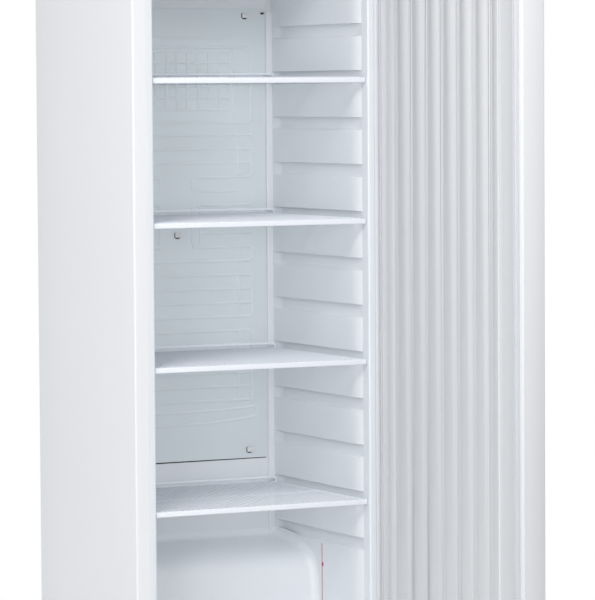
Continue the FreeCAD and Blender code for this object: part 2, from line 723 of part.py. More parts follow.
lock_way = rod("lock_way", lock_place, "lock_radius+3.2", "80", Vector(0, 1, 0))
keep("door_cap_bottom", door_cap(
    "door_cap_bottom", "door_low", "door_low+cap", 1, [lock_way]), swung=True)
keep("door_cap_top", door_cap("door_cap_top", "door_high-cap", "door_high", -1, []), swung=True)
bushes = []
for name, start, reach in (("bush_low", "door_low-2.8", "22.8"), ("bush_high", "door_high-20", "20")):
    body = rod(name + "_body", (pin_x, pin_y, start), "bush_radius", reach)
    bore = rod(name + "_bore", (pin_x, pin_y, f"{start}-1"), "pin_radius+running_gap", "26")
    bushes.append(cut(name, body, [bore]))
keep("hinge_bushes", group("hinge_bushes", bushes), swung=True)

cup_block = box("cup_block", CUP_LOW, CUP_HIGH)
cup_rim = box(
    "cup_rim", (f"{CUP_LOW[0]}-5", f"{door_out}-1.2", f"{CUP_LOW[2]}-5"),
    (f"{CUP_HIGH[0]}+5", door_out, f"{CUP_HIGH[2]}+5"))
cup_hollow = box(
    "cup_hollow", (f"{CUP_LOW[0]}+2", f"{door_out}-3", f"{CUP_LOW[2]}+2"),
    (f"{CUP_HIGH[0]}-2", f"{CUP_HIGH[1]}-2", f"{CUP_HIGH[2]}-2"))
grip = rod(
    "grip", (f"{CUP_LOW[0]}+5", f"{door_out}+4", f"{CUP_LOW[2]}+1"), "4", "148")
keep("handle_cup", fuse("handle_cup", [
    cut("cup_open", fuse("cup_whole", [cup_block, cup_rim]), [cup_hollow]), grip]), swung=True)

foam_core = box(
    "foam_core", (f"-{SIDE}+steel+4", f"{door_out}+steel+0.2", "door_low+cap+0.2"),
    (f"{SIDE}-steel-4", f"{door_in}-liner-0.2", "door_high-cap-0.2"))
seat_ways = [
    rod(f"seat_way{number}", (pin_x, pin_y, start), "bush_radius+2", "22")
    for number, start in enumerate(("door_low", "door_high-22"))]
cup_way = box(
    "cup_way", (f"{CUP_LOW[0]}-0.2", door_out, f"{CUP_LOW[2]}-0.2"),
    (f"{CUP_HIGH[0]}+0.2", f"{CUP_HIGH[1]}+0.2", f"{CUP_HIGH[2]}+0.2"))
keep("door_foam", cut("door_foam", foam_core, seat_ways + [cup_way, lock_way]), swung=True)

housing = rod("housing", ("-lock_x", f"{door_out}-1", "lock_z"), "lock_radius+3",
              "door_thick+0.8", Vector(0, 1, 0))
housing_collar = rod("housing_collar", ("-lock_x", f"{door_out}-1.6", "lock_z"),
                     "lock_radius+5", "1.5", Vector(0, 1, 0))
housing_bore = rod("housing_bore", ("-lock_x", f"{door_out}-3", "lock_z"),
                   "lock_radius+running_gap", "door_thick+8", Vector(0, 1, 0))
keep("lock_housing", cut("lock_housing", fuse("housing_whole", [housing, housing_collar]),
                         [housing_bore]), swung=True)
barrel = rod("barrel", ("-lock_x", f"{door_out}-1.8", "lock_z"), "lock_radius",
             "door_thick+1.5", Vector(0, 1, 0))
barrel_tail = rod("barrel_tail", ("-lock_x", f"{door_in}-0.5", "lock_z"), "4", "2.5",
                  Vector(0, 1, 0))
key_slot = box("key_slot", ("-lock_x-0.7", f"{door_out}-3", "lock_z-4"),
               ("-lock_x+0.7", f"{door_out}+14", "lock_z+4"))
keep("lock_barrel", cut("lock_barrel", fuse("barrel_whole", [barrel, barrel_tail]), [key_slot]),
     swung=True)
cam_arm = box("cam_arm", ("-lock_x", f"{door_in}+2", "lock_z-5"),
              ("-lock_x+29", f"{door_in}+4.5", "lock_z+5"))
cam_hub = rod("cam_hub", ("-lock_x", f"{door_in}+2", "lock_z"), "8", "2.5", Vector(0, 1, 0))
keep("lock_cam", fuse("lock_cam", [cam_arm, cam_hub]), swung=True)


# ---- control panel above the door ------------------------------------------------------------
fascia_front = f"{FRONT}-door_gap-door_thick"
fascia_block = box(
    "fascia_block", (f"-{SIDE}", fascia_front, "fascia_low"), (SIDE, f"{FRONT}-0.2", "height-steel"))
bracket_notch = box(
    "bracket_notch", (f"{SIDE}-39.5", f"{FRONT}-4.5", "fascia_low-1"),
    (f"{SIDE}-fascia_wall-0.1", FRONT, "fascia_low+fascia_wall+1"))
fascia_hollow = box(
    "fascia_hollow",
    (f"-{SIDE}+fascia_wall", f"{fascia_front}+fascia_wall", "fascia_low+fascia_wall"),
    (f"{SIDE}-fascia_wall", FRONT, "height-steel-fascia_wall"))
DISPLAY_Z = "(fascia_low+height)/2"
display_hole = box(
    "display_hole", ("-34", f"{fascia_front}-2", f"{DISPLAY_Z}-13"),
    ("34", f"{fascia_front}+5", f"{DISPLAY_Z}+13"))
BUTTONS = ["button_set", "button_down", "button_up", "button_defrost"]
button_x = [f"58+button_pitch*{number}" for number in range(len(BUTTONS))]
button_holes = [
    rod(f"button_hole{number}", (x, f"{fascia_front}-2", DISPLAY_Z), "button_radius+button_gap",
        "6", Vector(0, 1, 0))
    for number, x in enumerate(button_x)]
rocker_hole = box(
    "rocker_hole", ("-92", f"{fascia_front}-2", f"{DISPLAY_Z}-14.2"),
    ("-68", f"{fascia_front}+5", f"{DISPLAY_Z}+14.2"))
fascia_corners = rounded(
    "fascia_corners", fascia_block, 3,
    lambda edge: along(edge, Z_AXIS) and edge.Vertexes[0].Y < -size("depth") / 2 - 20
    or along(edge, Vector(1, 0, 0)) and edge.Vertexes[0].Y < -size("depth") / 2 - 20)
keep("control_fascia", cut(
    "control_fascia", fascia_corners,
    [fascia_hollow, bracket_notch, display_hole, rocker_hole] + button_holes))
keep("display_window", box(
    "display_window", ("-33.8", f"{fascia_front}+0.3", f"{DISPLAY_Z}-12.8"),
    ("33.8", f"{fascia_front}+3", f"{DISPLAY_Z}+12.8")))
keep("control_board", box(
    "control_board", ("-50", f"{fascia_front}+16", f"{DISPLAY_Z}-22"),
    ("170", f"{fascia_front}+17.6", f"{DISPLAY_Z}+22")))
for name, x in zip(BUTTONS, button_x):
    cap = rod(name + "_cap", (x, f"{fascia_front}-1.6", DISPLAY_Z), "button_radius", "6",
              Vector(0, 1, 0))
    stop = rod(name + "_stop", (x, f"{fascia_front}+fascia_wall+0.1", DISPLAY_Z),
               "button_radius+1.5", "2", Vector(0, 1, 0))
    plunger = rod(name + "_plunger", (x, f"{fascia_front}+4", DISPLAY_Z), "2.5", "9.5",
                  Vector(0, 1, 0))
    keep(name, fuse(name, [cap, stop, plunger]))
# rocker seen from the side: two faces that meet at 164 degrees, the upper one pressed in
rocker_points = [
    (f"{fascia_front}-0.6", f"{DISPLAY_Z}-12"), (f"{fascia_front}-2.4", f"{DISPLAY_Z}-11.4"),
    (f"{fascia_front}-0.8", DISPLAY_Z), (f"{fascia_front}+2.2", f"{DISPLAY_Z}+11.6"),
    (f"{fascia_front}+9", f"{DISPLAY_Z}+8"), (f"{fascia_front}+9", f"{DISPLAY_Z}-8")]
rocker_face = padded("rocker_face", "YZ_Plane", rocker_points, "22")
put(rocker_face, ("-91", "0", "0"))
trunnion = rod("trunnion", ("-93", f"{fascia_front}+5", DISPLAY_Z), "2", "26", Vector(1, 0, 0))
keep("power_rocker", fuse("power_rocker", [rocker_face, trunnion]))

# ---- plinth grille ----------------------------------------------------------------------------
grille_block = box(
    "grille_block", ("-250", f"{FRONT}-14", "foot_height+2"), ("250", f"{FRONT}-2", "door_low-6"))
grille_hollow = box(
    "grille_hollow", ("-247.5", f"{FRONT}-11.5", "foot_height+4.5"),
    ("247.5", FRONT, "door_low-8.5"))
grille_slots = [
    box(f"grille_slot{number}", (f"-225+{number}*25", f"{FRONT}-16", "foot_height+9"),
        (f"-211+{number}*25", f"{FRONT}-8", "door_low-13"))
    for number in range(18)]
keep("plinth_grille", cut("plinth_grille", grille_block, [grille_hollow] + grille_slots))


# ---- machine bay --------------------------------------------------------------------------------
BAY_Y = f"({FRONT}+bay_front+{BACK})/2"
compressor_x = "120"
can = rod("can", (compressor_x, BAY_Y, "foot_height+20"), "compressor_radius", "compressor_height")
dome = rounded("dome", can, 34, lambda edge: edge.Curve.TypeId == "Part::GeomCircle")
foot_plate = box(
    "foot_plate", (f"{compressor_x}-100", f"{BAY_Y}-60", "foot_height+16"),
    (f"{compressor_x}+100", f"{BAY_Y}+60", "foot_height+22"))
keep("compressor", fuse("compressor", [dome, foot_plate]))
mounts = [
    rod(f"mount{number}", (f"{compressor_x}+{sx}*88", f"{BAY_Y}+{sy}*48", "foot_height+2"), "11",
        "14")
    for number, (sx, sy) in enumerate(((-1, -1), (1, -1), (-1, 1), (1, 1)))]
keep("compressor_mounts", group("compressor_mounts", mounts))
keep("relay_box", box(
    "relay_box", (f"{compressor_x}-compressor_radius-36", f"{BAY_Y}-24", "foot_height+60"),
    (f"{compressor_x}-compressor_radius-0.5", f"{BAY_Y}+24", "foot_height+122")))
bay_y = size("bay_front") / 2
can_top = size("foot_height") + 20 + size("compressor_height")
drier_x = -60.0
drier = revolved("filter_drier", [
    ("0", "0"), ("3.5", "0"), ("3.5", "14"), ("11", "26"), ("11", "90"), ("3.5", "102"),
    ("3.5", "116"), ("0", "116")])
put(drier, (str(drier_x), BAY_Y, "foot_height+90"))
keep("filter_drier", drier)

rear = size("depth") / 2
coil_y = rear + 14
coil_low, coil_half = 400.0, 225.0
route = [(drier_x, bay_y, 226.2), (drier_x, bay_y, 290), (drier_x, coil_y, 290)]
route += [(drier_x, coil_y, coil_low), (coil_half, coil_y, coil_low)]
for run in range(1, int(size("coil_runs"))):
    level = coil_low + run * size("coil_pitch")
    end = coil_half if run % 2 else -coil_half
    route += [(end, coil_y, level)]
    route += [(-end, coil_y, level)]
last_level = route[-1][2]
route[-1] = (250, coil_y, last_level)
route += [(250, coil_y, 330)]
keep("condenser_coil", tube("condenser_coil", route, size("coil_radius"), 10))
feed = [
    (250, coil_y, 330), (250, coil_y, 270), (250, bay_y + 14, 270), (250, bay_y + 14, 150),
    (191.2, bay_y + 14, 150)]
keep("discharge_pipe", tube("discharge_pipe", feed, size("coil_radius"), 10))
wire_y = f"{BACK}+14+coil_radius+0.1+wire_radius"
wires = [
    rod(f"condenser_wire{number}", (f"-210+{number}*12", wire_y, "372"), "wire_radius", "1046")
    for number in range(36)]
keep("condenser_wires", group("condenser_wires", wires))
standoffs = [
    box(f"standoff{number}", (f"{x}-7", BACK, f"{z}-9"), (f"{x}+7", f"{BACK}+16.5", f"{z}+9"))
    for number, (x, z) in enumerate(((-198, 445), (198, 445), (-198, 1345), (198, 1345)))]
keep("condenser_brackets", group("condenser_brackets", standoffs))

suction = [
    (190, rear - size("depth") + size("inner_depth") - 0.5, 1500), (190, rear + 6, 1500),
    (238, rear + 6, 1440), (238, rear + 6, 300), (238, bay_y - 20, 240), (150, bay_y - 20, 240),
    (150, bay_y - 20, can_top)]
suction_pipe = tube("suction_pipe", suction, 4.0, 14)
keep("suction_pipe", suction_pipe)

inlet_block = box(
    "inlet_block", ("-250", f"{BACK}-24", "60"), ("-200", f"{BACK}-1", "95"))
inlet_recess = box("inlet_recess", ("-246", f"{BACK}-20", "64"), ("-204", BACK, "91"))
inlet_plate = box("inlet_plate", ("-281", f"{BACK}-3", "foot_height+2"), ("-188", f"{BACK}-1.5", "108"))
inlet_pins = [
    box(f"inlet_pin{number}", (f"{x}-1", f"{BACK}-21", "72"), (f"{x}+1", f"{BACK}-5", "82"))
    for number, x in enumerate((-236, -225, -214))]
inlet_shell = cut("inlet_shell", fuse("inlet_whole", [inlet_block, inlet_plate]), [inlet_recess])
keep("mains_inlet", fuse("mains_inlet", [inlet_shell] + inlet_pins))

# ---- checks and export ------------------------------------------------------------------------
doc.recompute()
for item in doc.Objects:
    if "Invalid" in item.State or "Error" in item.State:
        raise RuntimeError(f"{item.Name} failed: {item.State}")
for item in pieces:
    shape = item.Shape
    if shape.isNull() or not shape.isValid():
        raise RuntimeError(f"{item.Label} has no valid shape")
os.makedirs("parts", exist_ok=True)
for item in pieces:
    item.Shape.exportStep(f"parts/{item.Label}.step")
    bounds = item.Shape.BoundBox
    print(
        f"{item.Label}: {len(item.Shape.Solids)} solids, {item.Shape.Volume / 1000:.1f} cm3,"
        f" x {bounds.XMin:.1f}..{bounds.XMax:.1f} y {bounds.YMin:.1f}..{bounds.YMax:.1f}"
        f" z {bounds.ZMin:.1f}..{bounds.ZMax:.1f}")
print(f"{len(pieces)} pieces written")
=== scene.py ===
import json
import math
import bpy
from mathutils import Matrix, Vector


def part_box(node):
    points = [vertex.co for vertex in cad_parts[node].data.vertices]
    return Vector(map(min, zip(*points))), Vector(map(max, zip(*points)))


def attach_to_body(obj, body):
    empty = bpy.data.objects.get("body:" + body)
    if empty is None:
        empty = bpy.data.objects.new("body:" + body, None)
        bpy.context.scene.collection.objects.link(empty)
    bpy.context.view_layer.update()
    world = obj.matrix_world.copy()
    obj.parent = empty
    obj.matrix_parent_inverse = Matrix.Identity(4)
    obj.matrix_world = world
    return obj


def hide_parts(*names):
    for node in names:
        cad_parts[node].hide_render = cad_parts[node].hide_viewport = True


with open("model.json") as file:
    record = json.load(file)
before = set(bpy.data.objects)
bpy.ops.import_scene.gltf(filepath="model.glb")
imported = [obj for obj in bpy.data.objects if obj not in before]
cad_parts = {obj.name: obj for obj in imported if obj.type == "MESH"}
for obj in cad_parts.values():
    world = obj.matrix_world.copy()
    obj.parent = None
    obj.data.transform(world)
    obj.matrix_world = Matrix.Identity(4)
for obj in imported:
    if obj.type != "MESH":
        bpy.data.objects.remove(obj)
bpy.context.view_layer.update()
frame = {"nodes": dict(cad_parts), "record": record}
mm = 0.001
weldGap = 0.005 * mm
softAngle = 35    # degrees; a sharper edge than this is rounded and stays crisp in the shading
mouldAngle = 40   # the same for pieces that are modelled here
nodeBody = {}
for bodyName, members in frame["record"]["behaviour"]["bodies"].items():
    for member in members:
        nodeBody[member] = bodyName


# camera, solved from the edges of the photographed cabinet
camera = {
    "place": (-3.42280, -7.10275, 1.37420),
    "yaw": 27.095,
    "down": 3.2608,
    "roll": -0.3585,
    "lens": 217.44,
    "sensor": 36,
    "far": 60,
}


def linked(name, data):
    piece = bpy.data.objects.new(name, data)
    bpy.context.scene.collection.objects.link(piece)
    return piece


def addCamera():
    data = bpy.data.cameras.new("camera")
    data.lens = camera["lens"]
    data.sensor_width = camera["sensor"]
    data.clip_end = camera["far"]
    eye = linked("camera", data)
    turn = Matrix.Rotation(math.radians(-camera["yaw"]), 4, "Z")
    turn = turn @ Matrix.Rotation(math.radians(90 - camera["down"]), 4, "X")
    turn = turn @ Matrix.Rotation(math.radians(camera["roll"]), 4, "Z")
    eye.matrix_world = Matrix.Translation(camera["place"]) @ turn
    bpy.context.scene.camera = eye


# steps that every piece shares

def deselect():
    if bpy.context.object and bpy.context.object.mode != "OBJECT":
        bpy.ops.object.mode_set(mode="OBJECT")
    bpy.ops.object.select_all(action="DESELECT")


def activate(piece):
    deselect()
    piece.select_set(True)
    bpy.context.view_layer.objects.active = piece


def settle(piece):
    activate(piece)
    bpy.ops.object.transform_apply(location=True, rotation=True, scale=True)


def openMesh(piece):
    activate(piece)
    bpy.ops.object.mode_set(mode="EDIT")
    bpy.ops.mesh.select_all(action="SELECT")


def closeMesh():
    bpy.ops.object.mode_set(mode="OBJECT")


def faceOutward(piece):
    openMesh(piece)
    bpy.ops.mesh.normals_make_consistent(inside=False)
    closeMesh()


def applyModifiers(piece):
    activate(piece)
    for modifier in list(piece.modifiers):
        bpy.ops.object.modifier_apply(modifier=modifier.name)


def roundEdges(piece, radius, segments=2, angle=softAngle):
    bevel = piece.modifiers.new("roundEdges", "BEVEL")
    bevel.width = radius
    bevel.segments = segments
    bevel.limit_method = "ANGLE"
    bevel.angle_limit = math.radians(angle)
    bevel.use_clamp_overlap = False
    bevel.miter_outer = "MITER_ARC"
    applyModifiers(piece)


def smooth(piece, angle):
    activate(piece)
    bpy.ops.object.shade_smooth_by_angle(angle=math.radians(angle))


def attach(piece, node, material):
    piece.data.materials.clear()
    piece.data.materials.append(material)
    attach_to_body(piece, nodeBody[node])
    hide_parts(node)


def block(name, low, high):
    bpy.ops.mesh.primitive_cube_add(size=1)
    piece = bpy.context.object
    piece.name = name
    piece.location = [(a + b) / 2 for a, b in zip(low, high)]
    piece.scale = [b - a for a, b in zip(low, high)]
    settle(piece)
    return piece


def bar(name, start, end, radius, sides):
    start, end = Vector(start), Vector(end)
    length = (end - start).length
    bpy.ops.mesh.primitive_cylinder_add(vertices=sides, radius=radius, depth=length)
    piece = bpy.context.object
    piece.name = name
    piece.matrix_world = (Matrix.Translation((start + end) / 2)
                          @ (end - start).to_track_quat("Z", "Y").to_matrix().to_4x4())
    settle(piece)
    return piece


def joined(parts, name):
    deselect()
    for part in parts:
        part.select_set(True)
    bpy.context.view_layer.objects.active = parts[0]
    bpy.ops.object.join()
    parts[0].name = name
    return parts[0]


def copied(piece, name, offset):
    twin = linked(name, piece.data.copy())
    twin.location = offset
    settle(twin)
    return twin


def mirrored(piece, name):
    twin = linked(name, piece.data.copy())
    twin.scale = (-1, 1, 1)
    settle(twin)
    faceOutward(twin)
    return twin


# a sheet through rows of points in millimetres, with its thickness to one side
def moulded(name, rows, thick, outward=True):
    across = len(rows[0])
    bpy.ops.mesh.primitive_grid_add(x_subdivisions=across - 1, y_subdivisions=len(rows) - 1,
                                    size=1)
    piece = bpy.context.object
    piece.name = name
    grid = sorted(piece.data.vertices, key=lambda v: (round(v.co.y, 5), round(v.co.x, 5)))
    for number, row in enumerate(rows):
        for place, point in enumerate(row):
            grid[number * across + place].co = [value * mm for value in point]
    wall = piece.modifiers.new("wall", "SOLIDIFY")
    wall.thickness = thick * mm
    wall.offset = 1 if outward else -1
    applyModifiers(piece)
    faceOutward(piece)
    return piece


def bentRoute(route, bend, steps):
    closed = route[0] == route[-1]
    corners = [Vector(point) for point in (route[:-1] if closed else route)]
    points = []
    for number, corner in enumerate(corners):
        if not closed and number in (0, len(corners) - 1):
            points.append(corner)
            continue
        before, after = corners[number - 1], corners[(number + 1) % len(corners)]
        reach = min(bend, (before - corner).length / 2, (after - corner).length / 2)
        first = corner + (before - corner).normalized() * reach
        last = corner + (after - corner).normalized() * reach
        for step in range(steps + 1):
            t = step / steps
            points.append(first * (1 - t) ** 2 + corner * 2 * t * (1 - t) + last * t * t)
    return points, closed


def drawnTube(name, routes, radius, bend, steps, sides):
    tubes = []
    for route in routes:
        points, closed = bentRoute(route, bend, steps)
        curve = bpy.data.curves.new(name, "CURVE")
        curve.dimensions = "3D"
        curve.bevel_depth = radius
        curve.bevel_resolution = sides
        curve.use_fill_caps = True
        spline = curve.splines.new("POLY")
        spline.points.add(len(points) - 1)
        for knot, point in zip(spline.points, points):
            knot.co = (*point, 1)
        spline.use_cyclic_u = closed
        activate(linked(name, curve))
        bpy.ops.object.convert(target="MESH")
        tube = bpy.context.object
        openMesh(tube)
        bpy.ops.mesh.remove_doubles(threshold=weldGap)
        bpy.ops.mesh.normals_make_consistent(inside=False)
        closeMesh()
        tubes.append(tube)
    return joined(tubes, name)


# paints, plastics and metals
surface = {
    "cloudDetail": 4,
    "grainDetail": 3,
    "bumpStrength": 0.35,
    "coatRoughness": 0.2,
    "tintShare": 0.93,
}


def surfaceGroup():
    group = bpy.data.node_groups.new("surfaceDetail", "ShaderNodeTree")
    face = group.interface
    for name, kind, value in (
        ("Color", "NodeSocketColor", (0.8, 0.8, 0.8, 1)),
        ("Tint", "NodeSocketColor", (0.7, 0.7, 0.7, 1)),
        ("Cloud Scale", "NodeSocketFloat", 6.0),
        ("Cloud Amount", "NodeSocketFloat", 0.2),
        ("Grain Scale", "NodeSocketFloat", 900.0),
        ("Roughness", "NodeSocketFloat", 0.4),
        ("Roughness Spread", "NodeSocketFloat", 0.06),
    ):
        socket = face.new_socket(name, in_out="INPUT", socket_type=kind)
        socket.default_value = value
    for name, kind in (("Color", "NodeSocketColor"), ("Roughness", "NodeSocketFloat"),
                       ("Grain", "NodeSocketFloat")):
        face.new_socket(name, in_out="OUTPUT", socket_type=kind)
    nodes, links = group.nodes, group.links
    inlet, outlet = nodes.new("NodeGroupInput"), nodes.new("NodeGroupOutput")
    place = nodes.new("ShaderNodeTexCoord")
    cloud, grain = nodes.new("ShaderNodeTexNoise"), nodes.new("ShaderNodeTexNoise")
    cloud.inputs["Detail"].default_value = surface["cloudDetail"]
    grain.inputs["Detail"].default_value = surface["grainDetail"]
    for texture, scale in ((cloud, "Cloud Scale"), (grain, "Grain Scale")):
        links.new(place.outputs["Object"], texture.inputs["Vector"])
        links.new(inlet.outputs[scale], texture.inputs["Scale"])
    amount = nodes.new("ShaderNodeMath")
    amount.operation = "MULTIPLY"
    links.new(cloud.outputs["Fac"], amount.inputs[0])
    links.new(inlet.outputs["Cloud Amount"], amount.inputs[1])
    mix = nodes.new("ShaderNodeMix")
    mix.data_type = "RGBA"
    links.new(amount.outputs[0], mix.inputs[0])
    links.new(inlet.outputs["Color"], mix.inputs[6])
    links.new(inlet.outputs["Tint"], mix.inputs[7])
    centred = nodes.new("ShaderNodeMath")
    centred.operation = "SUBTRACT"
    links.new(cloud.outputs["Fac"], centred.inputs[0])
    centred.inputs[1].default_value = 0.5
    spread = nodes.new("ShaderNodeMath")
    spread.operation = "MULTIPLY_ADD"
    links.new(centred.outputs[0], spread.inputs[0])
    links.new(inlet.outputs["Roughness Spread"], spread.inputs[1])
    links.new(inlet.outputs["Roughness"], spread.inputs[2])
    links.new(mix.outputs[2], outlet.inputs["Color"])
    links.new(spread.outputs[0], outlet.inputs["Roughness"])
    links.new(grain.outputs["Fac"], outlet.inputs["Grain"])
    return group


surfaceDetail = surfaceGroup()


def finish(name, color, tint=None, roughness=0.4, spread=0.08, metallic=0.0, cloudScale=6.0,
           cloudAmount=0.25, grainScale=900.0, grainDepth=0.02, coat=0.0):
    material = bpy.data.materials.new(name)
    material.use_nodes = True
    nodes, links = material.node_tree.nodes, material.node_tree.links
    shader = nodes["Principled BSDF"]
    detail = nodes.new("ShaderNodeGroup")
    detail.node_tree = surfaceDetail
    tint = tint or [surface["tintShare"] * part for part in color]
    for socket, value in (("Color", (*color, 1)), ("Tint", (*tint, 1)),
                          ("Cloud Scale", cloudScale), ("Cloud Amount", cloudAmount),
                          ("Grain Scale", grainScale), ("Roughness", roughness),
                          ("Roughness Spread", spread)):
        detail.inputs[socket].default_value = value
    links.new(detail.outputs["Color"], shader.inputs["Base Color"])
    links.new(detail.outputs["Roughness"], shader.inputs["Roughness"])
    bump = nodes.new("ShaderNodeBump")
    bump.inputs["Strength"].default_value = surface["bumpStrength"]
    bump.inputs["Distance"].default_value = grainDepth * mm
    links.new(detail.outputs["Grain"], bump.inputs["Height"])
    links.new(bump.outputs["Normal"], shader.inputs["Normal"])
    shader.inputs["Metallic"].default_value = metallic
    shader.inputs["Coat Weight"].default_value = coat
    shader.inputs["Coat Roughness"].default_value = surface["coatRoughness"]
    return material


finishes = {
    "enamel": finish("whiteEnamel", (0.825, 0.832, 0.85), roughness=0.32, cloudScale=3,
                     grainScale=500, grainDepth=0.05, coat=0.2),
    "liner": finish("linerPlastic", (0.785, 0.814, 0.848), roughness=0.36, cloudScale=5,
                    grainScale=700, grainDepth=0.04),
    "doorLiner": finish("doorLinerPlastic", (0.645, 0.652, 0.667), roughness=0.38, cloudScale=5,
                        grainScale=700, grainDepth=0.04),
    "plate": finish("coldPlateCoat", (0.77, 0.82, 0.85), roughness=0.34, cloudScale=9,
                    grainScale=600, grainDepth=0.03),
    "wire": finish("wireCoat", (0.86, 0.89, 0.945), roughness=0.3, cloudScale=20,
                   grainScale=1500, grainDepth=0.02),
    "moulding": finish("whiteMoulding", (0.79, 0.79, 0.80), roughness=0.42, cloudScale=12,
                       grainScale=2200, grainDepth=0.03),
    "gasket": finish("gasketVinyl", (0.60, 0.615, 0.64), roughness=0.55, cloudScale=18,
                     grainScale=1800, grainDepth=0.03),
    "grey": finish("greyMoulding", (0.27, 0.29, 0.31), roughness=0.45, cloudScale=25,
                   grainScale=2200, grainDepth=0.04),
    "black": finish("blackMoulding", (0.022, 0.022, 0.024), tint=(0.035, 0.035, 0.037),
                    roughness=0.45, cloudScale=25, grainScale=2200, grainDepth=0.05),
    "zinc": finish("zincSheet", (0.55, 0.56, 0.57), tint=(0.42, 0.44, 0.46), roughness=0.38,
                   metallic=0.9, cloudScale=60, cloudAmount=0.8, grainScale=300, grainDepth=0.02),
    "plated": finish("platedSteel", (0.62, 0.62, 0.63), roughness=0.22, metallic=1.0,
                     cloudScale=40, grainScale=1500, grainDepth=0.01),
    "blackSteel": finish("blackEnamel", (0.018, 0.018, 0.019), tint=(0.03, 0.03, 0.03),
                         roughness=0.35, cloudScale=30, grainScale=900, grainDepth=0.05, coat=0.2),
    "copper": finish("copperTube", (0.80, 0.42, 0.26), tint=(0.55, 0.27, 0.17), roughness=0.3,
                     metallic=1.0, cloudScale=45, cloudAmount=0.7, grainScale=1200),
    "rubber": finish("blackRubber", (0.02, 0.02, 0.02), tint=(0.05, 0.05, 0.05), roughness=0.7,
                     cloudScale=50, grainScale=1500, grainDepth=0.06),
    "window": finish("smokedWindow", (0.012, 0.013, 0.016), roughness=0.08, cloudScale=10,
                     grainScale=400, grainDepth=0.002, coat=0.5),
    "board": finish("circuitBoard", (0.02, 0.13, 0.05), tint=(0.01, 0.06, 0.03), roughness=0.35,
                    cloudScale=120, cloudAmount=0.8, grainScale=1500),
    "foam": finish("rigidFoam", (0.75, 0.62, 0.30), roughness=0.9, cloudScale=60,
                   grainScale=1200, grainDepth=0.2),
    "redMark": finish("redMark", (0.58, 0.01, 0.025), roughness=0.5, cloudScale=30,
                      grainScale=1200, grainDepth=0.01),
}
print("finishes:", len(finishes))

# cold plate on the back wall, with its blown channels; x and z of the channels in millimetres
coldPlate = {
    "edge": 0.6 * mm,
    "channelWidth": 6.4 * mm,
    "channelRise": 1.9 * mm,
    "margin": 0.1 * mm,
    "bend": 11 * mm,
    "bendSteps": 5,
    "channelSides": 2,
    "rungTop": 1283,
    "rungPitch": 31.35,
    "rungs": (0, 1, 2, 10, 11, 12, 15, 16, 17, 18),
    "uprights": ((-0.5, 2.8), (8, 9), (10, 13), (14, 19)),
    "near": {-1: 30, 1: 48},
    "far": {-1: 50, 1: 68},
    "inner": 161,
    "outer": 196,
    "topLine": (150, 1500),
    "border": (1310, 1478),
    "gridPitch": 26,
    "gridTop": 1470,
    "gridRows": 6,
    "gridColumns": 12,
    "gridGap": 11.5,
    "bows": ((664, 8), (636, 13)),
    "bowSteps": 6,
    "bowReach": 205,
}


def rung(number):
    return coldPlate["rungTop"] - coldPlate["rungPitch"] * number


def loopRoutes():
    inner, outer = coldPlate["inner"], coldPlate["outer"]
    routes = [[(-outer, rung(number)), (outer, rung(number))] for number in coldPlate["rungs"]]
    for side in (-1, 1):
        near, far = coldPlate["near"][side], coldPlate["far"][side]
        routes += [
            [(side * outer, rung(-0.5)), (side * outer, rung(3)), (side * near, rung(3)),
             (side * near, rung(4)), (side * inner, rung(4))],
            [(side * outer, rung(4)), (side * outer, rung(5)), (side * far, rung(5))],
            [(side * near, rung(5)), (side * far, rung(5)), (side * far, rung(7.9)),
             (side * near, rung(7.9)), (side * near, rung(5))],
            [(side * far, rung(7)), (side * outer, rung(7))],
            [(side * near, rung(8)), (side * outer, rung(8)), (side * outer, rung(9)),
             (0, rung(9))],
        ]
        for first, last in coldPlate["uprights"]:
            routes.append([(side * inner, rung(first)), (side * inner, rung(last))])
    routes.append([(-outer, rung(10)), (-outer, rung(13)), (outer, rung(13)), (outer, rung(10))])
    routes.append([(-outer, rung(14)), (outer, rung(14)), (outer, rung(19)), (-outer, rung(19)),
                   (-outer, rung(14))])
    return routes


def gridRoutes():
    low, high = coldPlate["border"]
    pitch, top = coldPlate["gridPitch"], coldPlate["gridTop"]
    half = (coldPlate["gridColumns"] - 1) / 2 * pitch
    routes = [[(-half, top - pitch * row), (half, top - pitch * row)]
              for row in range(coldPlate["gridRows"])]
    for column in range(coldPlate["gridColumns"]):
        x = column * pitch - half
        routes.append([(x, top), (x, top - pitch * (coldPlate["gridRows"] - 1))])
    routes.append([(half + coldPlate["gridGap"], low), (half + coldPlate["gridGap"], high)])
    return routes


def bowedRoute():
    steps, bowed = coldPlate["bowSteps"], []
    for way, (level, rise) in zip((1, -1), coldPlate["bows"]):
        for step in range(-steps, steps + 1):
            bowed.append((way * step / steps * coldPlate["bowReach"],
                          level + rise * (step / steps) ** 2))
    return bowed + bowed[:1]


def channelRoutes():
    outer = coldPlate["outer"]
    low, high = coldPlate["border"]
    reach, top = coldPlate["topLine"]
    routes = [
        [(-outer, high), (outer, high), (outer, low), (-outer, low), (-outer, high)],
        [(-reach, top), (reach, top)],
    ]
    routes += loopRoutes() + gridRoutes() + [bowedRoute()]
    return [[(x * mm, 0, z * mm) for x, z in route] for route in routes]


def plateFace():
    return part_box("evaporator_plate")[0][1] + coldPlate["channelRise"] + coldPlate["margin"]


